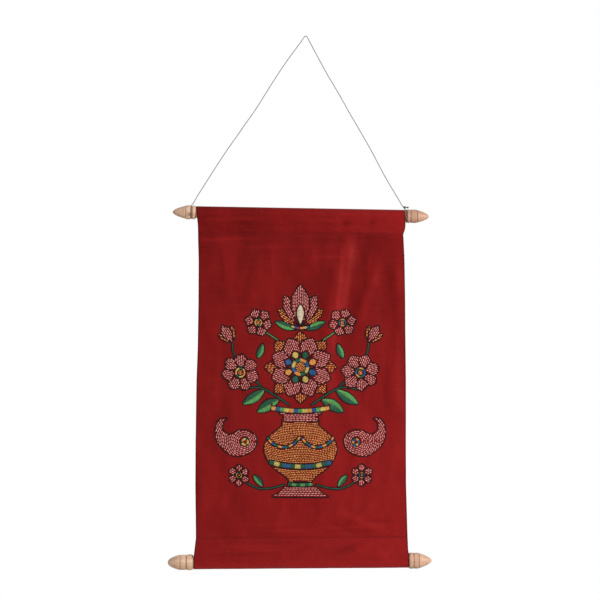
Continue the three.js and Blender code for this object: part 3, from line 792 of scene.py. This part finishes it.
def makeCloth():
    outer, inner, isPanel = clothSection()
    n = len(outer)
    ringY = np.array([p[0] for p in outer] + [p[0] for p in inner[::-1]])
    ringZ = np.array([p[1] for p in outer] + [p[1] for p in inner[::-1]])
    near = [0.0, 0.0014, 0.003, 0.006, 0.011]
    middle = [0.019 + (1 - 0.038) * i / (cloth["columns"] - 1) for i in range(cloth["columns"])]
    shares = np.array(near + middle + [1 - s for s in near[::-1]])
    across = np.repeat(shares[:, None], 2 * n, 1)
    y = np.repeat(ringY[None, :], len(shares), 0)
    z = np.repeat(ringZ[None, :], len(shares), 0)
    x, y, z = clothPlace(across, y, z)
    # the pockets are never quite round: a slow random swell
    inPocket = np.array([1 - p for p in isPanel] + [1 - p for p in isPanel[::-1]])[None, :]
    swell = np.array([[sum(noise.noise(Vector((a * alongX, b * alongZ, seed))) * rise
                           for alongX, alongZ, seed, rise in cloth["swell"]) for b in ringZ] for a in x[:, 0]])
    dentHeight = heightOf(dents, x, z) * inPocket * (y < 0)
    creaseHeight = heightOf(creases, x, z) * (1 - inPocket)
    y = y + inPocket * swell * np.sign(y + 0.2) - dentHeight
    points = np.stack([x, y, z], 2).reshape(-1, 3) * mm
    faces = []
    ring = 2 * n
    for c in range(len(shares) - 1):
        for k in range(ring):
            m = (k + 1) % ring
            faces.append((c * ring + k, c * ring + m, (c + 1) * ring + m, (c + 1) * ring + k))
    last = (len(shares) - 1) * ring
    for k in range(n - 1):
        other = ring - 1 - k
        faces.append((k, k + 1, other - 1, other))
        faces.append((last + k, last + other, last + other - 1, last + k + 1))
    piece = newPiece("silkScroll", points, faces, silkMaterial)
    steps = np.hypot(np.diff([p[0] for p in outer]), np.diff([p[1] for p in outer]))
    run = np.concatenate([[0], np.cumsum(steps)]) * mm
    run = np.concatenate([run, run[::-1]])
    width = (x[:, 0] - x[0, 0]) * mm
    uvLayer = piece.data.uv_layers.new(name="clothUv")
    loops = np.empty(len(piece.data.loops), np.int32)
    piece.data.loops.foreach_get("vertex_index", loops)
    uvs = np.stack([width[loops // ring], run[loops % ring]], 1)
    uvLayer.data.foreach_set("uv", uvs.ravel())
    side = np.minimum(x - x[:1, :], x[-1:, :] - x) * mm
    setAttribute(piece, "sideDistance", side.ravel())
    # how deep each point lies in a crease or dent, for the painted shade in the hollows and the painted light on the
    # crests
    setAttribute(piece, "hollow", -(dentHeight + creaseHeight).ravel())
    return handIn(piece, "cloth_panel")


silkScroll = makeCloth()
print("cloth hung:", len(silkScroll.data.polygons), "faces")

# stitches

threads = {
    "pink": srgb(230, 156, 150),
    "gold": srgb(232, 158, 88),
    "black": srgb(20, 8, 9),
    "darkGreen": srgb(40, 92, 70),
    "lightGreen": srgb(92, 158, 88),
    "blue": srgb(44, 92, 140),
    "orange": srgb(222, 146, 70),
    "yellow": srgb(206, 178, 96),
    "cream": srgb(226, 206, 178),
    "magenta": srgb(176, 40, 74),
    "seam": srgb(88, 15, 17),
}
sewing = {
    "middle": (-8.0, -530.0),  # of the embroidery on the cloth; its shapes are drawn about it
    "runLength": 3.9,
    "runGap": 0.9,
    "rowGap": 2.75,
    "runKept": 1.3,  # a shorter rest of a stitch is left out
    "outlineLength": 3.4,
    "outlinePitch": 2.3,
    "outlineTurn": 0.22,  # outline stitches overlap like the strands of a rope
    "satinPitch": 0.62,
    "bandRim": 0.35,  # black outline left free at a band's sides
    "seamLength": 2.3,
    "seamPitch": 3.1,
    "wobble": 0.16,
    "width": {"running": 1.45, "outline": 1.8, "satin": 0.8, "seam": 0.75},
    "rise": {"running": 0.9, "outline": 1.05, "satin": 0.7, "seam": 0.5},
}
stitches = {name: [] for name in threads}
sewn = []  # shapes already sewn: what comes later lies behind them
hand = random.Random(4)


def turnedBy(point, angle, origin=(0.0, 0.0)):
    c, s = math.cos(angle), math.sin(angle)
    return (origin[0] + point[0] * c - point[1] * s, origin[1] + point[0] * s + point[1] * c)


def isInside(point, loop):
    x, z = point
    inside = False
    ax, az = loop[-1]
    for bx, bz in loop:
        if (az > z) != (bz > z) and x < (bx - ax) * (z - az) / (bz - az) + ax:
            inside = not inside
        ax, az = bx, bz
    return inside


def rimDistance(point, loop):
    px, pz = point
    least = 1e9
    ax, az = loop[-1]
    for bx, bz in loop:
        dx, dz = bx - ax, bz - az
        t = max(0.0, min(1.0, ((px - ax) * dx + (pz - az) * dz) / (dx * dx + dz * dz + 1e-12)))
        least = min(least, (px - ax - t * dx) ** 2 + (pz - az - t * dz) ** 2)
        ax, az = bx, bz
    return math.sqrt(least)


class Shape:  # a closed outline in millimetres about the middle of the embroidery
    def __init__(self, loop):
        self.loop = loop
        self.low = [min(p[k] for p in loop) for k in (0, 1)]
        self.high = [max(p[k] for p in loop) for k in (0, 1)]

    def holds(self, point, margin=0.0):  # a margin above 0 keeps clear of the rim, below 0 reaches past it
        if any(not self.low[k] - 2 < point[k] < self.high[k] + 2 for k in (0, 1)):
            return False
        inside = isInside(point, self.loop)
        if margin > 0:
            return inside and rimDistance(point, self.loop) > margin
        return inside or (margin < 0 and rimDistance(point, self.loop) < -margin)


def isFree(point, own=None, margin=-0.9):
    return not any(shape is not own and shape.holds(point, margin) for shape in sewn)


def wobble(size=1.0):
    return hand.gauss(0, sewing["wobble"] * size)


def sew(thread, kind, a, b, shake=1.0):
    start = (a[0] + wobble(shake), a[1] + wobble(shake))
    stitches[thread].append((kind, start, (b[0] + wobble(shake), b[1] + wobble(shake))))


def sewOutline(shape):
    # black line round a shape, which is then done
    path, total = alongPath(shape.loop, True)
    count = max(3, round(total[-1] / sewing["outlinePitch"]))
    for i in range(count):
        at = total[-1] * i / count
        a = pointAt(path, total, at)
        b = pointAt(path, total, at + sewing["outlineLength"])
        size = math.dist(a, b)
        if size > 1.0 and isFree(((a[0] + b[0]) / 2, (a[1] + b[1]) / 2), shape, -0.2):
            dx, dz = ((b[k] - a[k]) / size * sewing["outlineTurn"] for k in (0, 1))
            sew("black", "outline", (a[0] - dz, a[1] + dx), (b[0] + dz, b[1] - dx), 0.4)
    sewn.append(shape)


def sewRows(shape, rows, thread, margin=0.95, length=sewing["runLength"], gap=sewing["runGap"]):
    for number, row in enumerate(rows):
        path, total = alongPath(row)
        at = -hand.uniform(0, 0.6) - (0.5 * (length + gap) if number % 2 else 0)
        while at < total[-1]:
            size = length * hand.uniform(0.86, 1.12)
            inside = []
            for k in range(8):  # keep the part of the stitch that lies inside
                d = at + size * k / 7
                p = pointAt(path, total, d) if 0 <= d <= total[-1] else None
                inside.append(p is not None and shape.holds(p, margin) and isFree(p, shape))
            if any(inside):
                first = last = inside.index(True)
                while last < 7 and inside[last + 1]:
                    last += 1
                a, b = (pointAt(path, total, at + size * k / 7) for k in (first, last))
                if math.dist(a, b) > sewing["runKept"]:
                    sew(thread, "running", a, b)
            at += size + gap * hand.uniform(0.8, 1.25)


def fillShape(shape, rows, thread, *sizes):
    sewRows(shape, rows, thread, *sizes)
    sewOutline(shape)


def straightRows(shape, angle, bend=0.0):
    middle = [(shape.low[k] + shape.high[k]) / 2 for k in (0, 1)]
    reach = math.dist(shape.low, shape.high) / 2 + 2
    number = int(reach / sewing["rowGap"]) + 1
    rows = []
    for k in range(-number, number + 1):
        ends = [(-reach + 2 * reach * i / 12) for i in range(13)]
        rows.append([turnedBy((u, k * sewing["rowGap"] + bend * u * u / reach), angle, middle) for u in ends])
    return rows


def circle(centre, radius):
    count = max(16, int(radius * 4))
    return [turnedBy((radius, 0), 2 * math.pi * i / count, centre) for i in range(count)]


def arcRows(centre, fromRadius, toRadius, gap=sewing["rowGap"]):
    rows = []
    radius = fromRadius
    while radius < toRadius:
        rows.append(circle(centre, radius) + circle(centre, radius)[:1])
        radius += gap
    return rows


def sewSatin(left, right, thread, own=None):
    # threads side by side from one edge to the other
    pathA, totalA = alongPath(left)
    pathB, totalB = alongPath(right)
    count = max(2, round(max(totalA[-1], totalB[-1]) / sewing["satinPitch"]))
    for i in range(count):
        share = (i + 0.5) / count
        a = pointAt(pathA, totalA, share * totalA[-1])
        b = pointAt(pathB, totalB, share * totalB[-1])
        if math.dist(a, b) > 0.9 and isFree(((a[0] + b[0]) / 2, (a[1] + b[1]) / 2), own):
            sew(thread, "satin", a, b, 0.5)


def offsetPath(path, offset):
    moved = []
    for i, p in enumerate(path):
        a, b = path[max(i - 1, 0)], path[min(i + 1, len(path) - 1)]
        dx, dz = b[0] - a[0], b[1] - a[1]
        size = math.hypot(dx, dz) or 1.0
        moved.append((p[0] - dz / size * offset, p[1] + dx / size * offset))
    return moved


def sewBand(points, width, colors, block=9.0):
    # a satin band along a path, its thread changing with every block
    path = smoothPath(points)
    shape = Shape(offsetPath(path, width / 2) + offsetPath(path, -width / 2)[::-1])
    sides = [alongPath(offsetPath(path, side * (width / 2 - sewing["bandRim"]))) for side in (1, -1)]
    blocks = max(1, round(sides[0][1][-1] / block)) if len(colors) > 1 else 1
    for i in range(blocks):
        edges = [[pointAt(edge, total, (i + k / 6) / blocks * total[-1]) for k in range(7)] for edge, total in sides]
        sewSatin(*edges, colors[i % len(colors)], shape)
    sewOutline(shape)


petalSides = [(0.0, 0.16), (0.22, 0.66), (0.46, 1.0), (0.7, 0.88), (0.88, 0.46), (1.0, 0.0)]


def petalShape(base, angle, length, width, lean=0.0):
    right = [(t * length, -width / 2 * w + lean * length * t * t) for t, w in petalSides]
    left = [(t * length, width / 2 * w + lean * length * t * t) for t, w in petalSides]
    return Shape([turnedBy(p, angle, base) for p in smoothPath(right + left[-2::-1], True, 1.2)])


def sewPetal(base, angle, length, width, thread="pink"):
    shape = petalShape(base, angle, length, width)
    fillShape(shape, straightRows(shape, angle), thread)


def sewDrop(base, angle, length, width, thread):
    shape = petalShape(base, angle, length, width)
    half = len(shape.loop) // 2
    sewSatin(shape.loop[:half], shape.loop[half:][::-1], thread, shape)
    sewOutline(shape)


def sewRing(centre, radius, width, colors, blocks):
    for i in range(blocks):
        angles = [2 * math.pi / blocks * (i + k / 5) for k in range(6)]
        edges = [[turnedBy((radius + side * (width / 2 - 0.3), 0), a, centre) for a in angles] for side in (1, -1)]
        sewSatin(*edges, colors[i % len(colors)])


def sewFlower(centre, petals, reach, heart, width, turn, colors, drops=False):
    eye, rim = Shape(circle(centre, heart * 0.56)), Shape(circle(centre, heart))
    fillShape(eye, arcRows(centre, 0.9, heart, 1.9), "gold", 0.7, 2.6, 0.8)
    sewRing(centre, heart * 0.78, heart * 0.44, colors, petals)
    sewOutline(rim)
    for i in range(petals):
        angle = turn + 2 * math.pi * i / petals
        size = reach * hand.uniform(0.96, 1.04) - heart
        base = turnedBy((heart - 0.5, 0), angle, centre)
        if drops:
            sewDrop(base, angle, size * 0.36, width * 0.42, colors[(i + 1) % len(colors)])
        sewPetal(base, angle, size, width)


def sewLeaf(base, angle, length, width, lean=0.12):
    shape = petalShape(base, angle, length, width, lean)
    shares = [0.06 + 0.9 * k / 14 for k in range(15)]
    for side, thread in ((1, "lightGreen"), (-1, "darkGreen")):
        rim, vein = [], []
        for t in shares:
            far = min(1.0, t + 0.1)
            halfWidth = np.interp(min(1.0, t + 0.06), *zip(*petalSides)) * width / 2
            outward = lean * length * far * far + side * max(0.0, halfWidth - 0.5)
            rim.append(turnedBy((far * length, outward), angle, base))
            vein.append(turnedBy((t * length, lean * length * t * t - side * 0.3), angle, base))
        sewSatin(vein, rim, thread, shape)
    sewOutline(shape)


def sewPot():
    rim = [(-44, -27), (-20, -30.5), (0, -31.5), (20, -30.5), (44, -27)]
    sewBand(rim, 7.5, ("orange", "blue", "lightGreen", "yellow"), 7)
    neck = Shape(smoothPath([(-30, -34), (-25, -40), (-25, -47), (25, -47), (25, -40), (30, -34)], True))
    fillShape(neck, straightRows(neck, 0), "pink")
    # two garlands and a band on the belly
    sewBand([(-50, -70), (-42, -80), (-26, -86), (-12, -82), (0, -70)], 4.4, ("darkGreen", "orange", "blue"), 5.5)
    sewBand([(0, -70), (12, -82), (26, -86), (42, -80), (50, -70)], 4.4, ("blue", "orange", "darkGreen"), 5.5)
    sewBand([(-47, -108), (-24, -113.5), (0, -115), (24, -113.5), (47, -108)], 8,
            ("darkGreen", "yellow", "darkGreen", "blue"), 8)
    right = [(25, -46), (27, -52), (34, -58), (46, -68), (54, -80), (55, -92), (51, -104), (40, -118), (24, -130),
             (17, -138)]
    pot = Shape(smoothPath([(-u, v) for u, v in right[::-1]] + right))
    rows = [[(u, -36 - k * 2.6 + 8.5 * (u / 55) ** 2) for u in range(-60, 61, 4)] for k in range(43)]
    fillShape(pot, rows, "gold", 0.95, 3.2, 0.7)
    sewBand([(-19, -141.5), (0, -142.5), (19, -141.5)], 6, ("darkGreen", "lightGreen"), 6)
    base = Shape(smoothPath([(-20, -145), (20, -145), (33, -154), (42, -161), (0, -161.5), (-42, -161), (-33, -154)],
                            True))
    fillShape(base, straightRows(base, 0), "pink")


def sewTopBud():
    sewBand([(-14, 95), (0, 92.5), (14, 95)], 4.5, ("yellow", "blue", "magenta", "orange"), 5)
    sewDrop((0, 99), math.pi / 2, 30, 12, "cream")
    for tilt, length, width, thread in ((0, 60, 29, "pink"), (29, 50, 23, "pink"), (-29, 50, 23, "pink"),
                                        (57, 41, 19, "gold"), (-57, 41, 19, "gold")):
        sewPetal((0, 98), math.radians(90 - tilt), length, width, thread)
    for side in (1, -1):
        sewLeaf((side * 4, 91), math.radians(90 - side * 80), 36, 12, side * 0.15)


def sewBranch(side, colors):
    def at(*points):
        return [(side * u, v) for u, v in points]

    def angle(degrees):
        return math.radians(90 - side * degrees)

    sewFlower((side * 90, 26), 7, 30, 8.5, 20, 0.3 * side, colors)
    sewFlower((side * 63, 101), 6, 22, 6.5, 16, 0.2 * side, colors)
    for tilt, length, width, thread in ((32, 30, 15, "pink"), (62, 25, 11, "gold"), (2, 25, 11, "gold")):
        sewPetal((side * 102, 72), angle(tilt), length, width, thread)
    for color, points in (("darkGreen", ((16, -23), (38, -8), (62, 4), (88, 0))),
                          ("darkGreen", ((57, 4), (84, 30), (100, 55), (102, 72))),
                          ("lightGreen", ((30, 72), (45, 82), (57, 90)))):
        sewBand(at(*points), 2.8, (color,))
    sewLeaf((side * 30, -14), angle(112), 40, 17, -side * 0.12)
    sewLeaf((side * 52, 2), angle(130), 42, 16, side * 0.1)
    sewLeaf((side * 56, 70), angle(-14 + 180), 25, 11, side * 0.1)
    # paisley
    sewRing((side * 83, -78), 4.6, 4.4, colors, 9)
    sewOutline(Shape(circle((side * 83, -78), 6.8)))
    paisley = Shape(smoothPath(at((78, -96), (66, -84), (66, -70), (78, -60), (93, -60), (106, -66), (115, -60),
                                  (115, -49), (108, -42), (122, -44), (128, -58), (126, -76), (116, -90), (98, -100)),
                               True))
    fillShape(paisley, arcRows((side * 84, -77), 9.2, 60), "pink")
    # sprig beside the foot
    sewFlower((side * 92, -128), 6, 18, 5.2, 12.5, 0.5, colors)
    sewBand(at((23, -142), (42, -147), (60, -148), (76, -142), (84, -136)), 2.8, ("darkGreen",))
    sewLeaf((side * 56, -146), angle(32), 24, 10, -side * 0.1)


def drawEmbroidery():
    sewFlower((0, 34), 8, 48, 14, 27, math.pi / 8, ("blue", "orange", "darkGreen", "yellow"), True)
    for i in range(8):  # points that show between its petals
        turn = math.pi / 4 * i
        sewPetal(turnedBy((20, 0), turn, (0, 34)), turn, 35, 22, "gold")
    sewPot()
    sewTopBud()
    sewBranch(1, ("blue", "orange", "darkGreen"))
    sewBranch(-1, ("orange", "darkGreen", "yellow"))


def shadeUnder():
    # the ground between the stitches is pressed down and lies in their shade
    places = np.empty(len(silkScroll.data.vertices) * 3)
    silkScroll.data.vertices.foreach_get("co", places)
    x, z = (places[k::3] / mm - middle for k, middle in zip((0, 2), sewing["middle"]))
    under = np.zeros(len(x), bool)
    for shape in sewn:
        near = (x > shape.low[0]) & (x < shape.high[0]) & (z > shape.low[1]) & (z < shape.high[1])
        nearX, nearZ = x[near], z[near]
        inside = np.zeros(near.sum(), bool)
        ax, az = shape.loop[-1]
        for bx, bz in shape.loop:
            if az != bz:
                inside ^= ((az > nearZ) != (bz > nearZ)) & (nearX < (bx - ax) * (nearZ - az) / (bz - az) + ax)
            ax, az = bx, bz
        under[near] |= inside
    half = len(clothSection()[0])
    onFront = np.arange(len(x)) % (2 * half) < half
    setAttribute(silkScroll, "sewnOver", (under & onFront).astype(float))


def drawSeams():
    middleX, middleZ = sewing["middle"]
    for seamZ, rod in ((cloth["topSeam"], "top"), (cloth["bottomSeam"], "bottom")):
        left, right = (float(column(edgeRows, side, seamZ)) for side in (1, 2))
        slope, midX = float(crossSlopeAt(seamZ)), rodAxis(rods[rod])["midX"]
        x = left + 1.5
        while x < right - 3.5:
            ends = [(u - middleX, seamZ + slope * (u - midX) - middleZ) for u in (x, x + sewing["seamLength"])]
            sew("seam", "seam", *ends, 0.3)
            x += sewing["seamPitch"]


drawEmbroidery()
drawSeams()
shadeUnder()
print("stitches planned:", {name: len(rows) for name, rows in stitches.items()})


def makeThreadMaterial(name, color):
    material, tree, shader = newMaterial(name + "Thread")
    strand = mapped(tree, attributeOf(tree, "strand", "Vector"), (2.2, 2.0, 1))
    twist = addNode(tree, "ShaderNodeTexWave", {"Vector": strand, "Scale": 1.6, "Distortion": 0.6},
                    wave_type="BANDS", bands_direction="DIAGONAL").outputs["Fac"]
    dark = tuple(c * 0.55 for c in color[:3]) + (1,)
    light = tuple(min(1, c * 1.25 + 0.012) for c in color[:3]) + (1,)
    tone = mixColor(tree, 0.55, mixColor(tree, attributeOf(tree, "shade"), dark, light), color)
    # painted shade: darker in the furrows of the twist, where the bump lies low
    tone = tint(tree, tone, dark, twist, 0.0, 0.5, 0.5, 0.0)
    feed(tree, shader, {"Base Color": tone, "Roughness": 0.6, "Specular IOR Level": 0.15, "Sheen Weight": 0.06,
                        "Sheen Roughness": 0.4})
    bumpInto(tree, shader, twist, 0.4, 0.0002)
    return material


def capture(tree, geometry, domain, values):
    # keeps the values on the geometry's points or edges
    node = addNode(tree, "GeometryNodeCaptureAttribute", domain=domain)
    for name, value in values.items():
        node.capture_items.new("VECTOR" if value.type == "VECTOR" else "FLOAT", name)
    return feed(tree, node, {"Geometry": geometry, **values}).outputs


def makeStitchTree():
    # each edge of the plan becomes one arched stitch lying on the cloth
    tree = bpy.data.node_groups.new("sewStitches", "GeometryNodeTree")
    for name, kind, value in (("Plan", "Geometry", None), ("Cloth", "Object", None), ("Thread", "Material", None),
                              ("Points Along", "Int", 6), ("Sides", "Int", 5), ("End Girth", "Float", 0.35),
                              ("Size Variation", "Float", 0.12), ("Seed", "Int", 0)):
        socket = tree.interface.new_socket(name=name, in_out="INPUT", socket_type="NodeSocket" + kind)
        if value is not None:
            socket.default_value = value
    tree.interface.new_socket(name="Stitches", in_out="OUTPUT", socket_type="NodeSocketGeometry")
    given = addNode(tree, "NodeGroupInput").outputs

    def put(kind, inputs=(), **settings):
        return addNode(tree, kind, inputs, **settings).outputs

    # the plan is dropped onto the front of the cloth
    clothShape = put("GeometryNodeObjectInfo", {"Object": given["Cloth"]})["Geometry"]
    drop = put("GeometryNodeRaycast", {"Target Geometry": clothShape, "Ray Direction": (0, 1, 0), "Ray Length": 0.2})
    normal = capture(tree, given["Plan"], "POINT", {"Normal": drop["Hit Normal"]})
    laid = put("GeometryNodeSetPosition", {
        "Geometry": normal["Geometry"], "Selection": drop["Is Hit"], "Position": drop["Hit Position"]})[0]
    ends = put("GeometryNodeInputMeshEdgeVertices")
    run = put("ShaderNodeVectorMath", {0: ends["Position 2"], 1: ends["Position 1"]}, operation="SUBTRACT")[0]
    along = capture(tree, laid, "EDGE", {"Run": run})
    points = put("GeometryNodeMeshToPoints", {"Mesh": along["Geometry"]}, mode="EDGES")[0]

    # one stitch: an arch with round section, thinner at both ends
    arch = put("GeometryNodeCurvePrimitiveBezierSegment", {
        "Start": (-0.45, 0, -0.1), "Start Handle": (-0.3, 0, 0.14), "End Handle": (0.3, 0, 0.14),
        "End": (0.45, 0, -0.1)})[0]
    even = put("GeometryNodeResampleCurve", {"Curve": arch, "Count": given["Points Along"]})[0]
    share = put("GeometryNodeSplineParameter")["Factor"]
    bulge = mathNode(tree, "POWER", mathNode(tree, "SINE", mathNode(tree, "MULTIPLY", share, math.pi)), 0.7)
    girth = mathNode(tree, "MULTIPLY_ADD", bulge, mathNode(tree, "SUBTRACT", 1, given["End Girth"]), given["End Girth"])
    lengthwise = capture(tree, even, "POINT", {"Share": share, "Girth": girth})
    section = put("GeometryNodeCurvePrimitiveCircle", {"Resolution": given["Sides"], "Radius": 0.5})[0]
    around = capture(tree, section, "POINT", {"Share": share})
    body = put("GeometryNodeCurveToMesh", {
        "Curve": lengthwise["Geometry"], "Profile Curve": around["Geometry"], "Scale": lengthwise["Girth"],
        "Fill Caps": True})[0]
    strand = put("ShaderNodeCombineXYZ", {0: lengthwise["Share"], 1: around["Share"]})[0]
    body = put("GeometryNodeStoreNamedAttribute", {"Geometry": body, "Name": "strand", "Value": strand},
               data_type="FLOAT_VECTOR", domain="POINT")[0]

    # its size and turn
    width, rise = (put("GeometryNodeInputNamedAttribute", {"Name": name}, data_type="FLOAT")["Attribute"]
                   for name in ("stitchWidth", "stitchRise"))
    length = put("ShaderNodeVectorMath", {0: along["Run"]}, operation="LENGTH")["Value"]
    least, most = (mathNode(tree, way, 1, given["Size Variation"]) for way in ("SUBTRACT", "ADD"))
    vary = put("FunctionNodeRandomValue", {2: least, 3: most, "Seed": given["Seed"]}, data_type="FLOAT")[1]
    size = put("ShaderNodeCombineXYZ", {0: length, 1: mathNode(tree, "MULTIPLY", width, vary), 2: rise})[0]
    aim = put("FunctionNodeAlignRotationToVector", {"Vector": along["Run"]}, axis="X")[0]
    upright = put("FunctionNodeAlignRotationToVector", {"Rotation": aim, "Vector": normal["Normal"]},
                  axis="Z", pivot_axis="X")[0]
    placed = put("GeometryNodeInstanceOnPoints", {
        "Points": points, "Instance": body, "Rotation": upright, "Scale": size})[0]
    shade = put("FunctionNodeRandomValue", {"Seed": given["Seed"]}, data_type="FLOAT")[1]
    shaded = put("GeometryNodeStoreNamedAttribute", {"Geometry": placed, "Name": "shade", "Value": shade},
                 data_type="FLOAT", domain="INSTANCE")[0]
    real = put("GeometryNodeRealizeInstances", {0: shaded})[0]
    painted = put("GeometryNodeSetMaterial", {"Geometry": real, "Material": given["Thread"]})[0]
    put("NodeGroupOutput", {0: painted})
    return tree


stitchTree = makeStitchTree()
stitchSockets = {s.name: s.identifier for s in stitchTree.interface.items_tree if s.in_out == "INPUT"}


def makeStitches(thread, rows, seed):
    middleX, middleZ = sewing["middle"]
    points, edges = [], []
    for kind, a, b in rows:
        edges.append((len(points), len(points) + 1))
        points += [((x + middleX) * mm, -0.05, (z + middleZ) * mm) for x, z in (a, b)]
    mesh = bpy.data.meshes.new(thread + "Stitches")
    mesh.from_pydata(points, edges, [])
    for name, table in (("stitchWidth", sewing["width"]), ("stitchRise", sewing["rise"])):
        mesh.attributes.new(name, "FLOAT", "EDGE").data.foreach_set("value", [table[row[0]] * mm for row in rows])
    piece = addObject(thread + "Stitches", mesh)
    modifier = piece.modifiers.new("sew", "NODES")
    modifier.node_group = stitchTree
    modifier[stitchSockets["Cloth"]] = silkScroll
    modifier[stitchSockets["Thread"]] = makeThreadMaterial(thread, threads[thread])
    modifier[stitchSockets["Seed"]] = seed
    bpy.context.view_layer.update()
    baked = bpy.data.meshes.new_from_object(piece.evaluated_get(bpy.context.evaluated_depsgraph_get()))
    piece.modifiers.remove(modifier)
    piece.data = baked
    baked.polygons.foreach_set("use_smooth", [True] * len(baked.polygons))
    return handIn(piece)


stitchPieces = [makeStitches(thread, rows, seed) for seed, (thread, rows) in enumerate(stitches.items()) if rows]
print("stitches sewn:", sum(len(p.data.polygons) for p in stitchPieces), "faces")
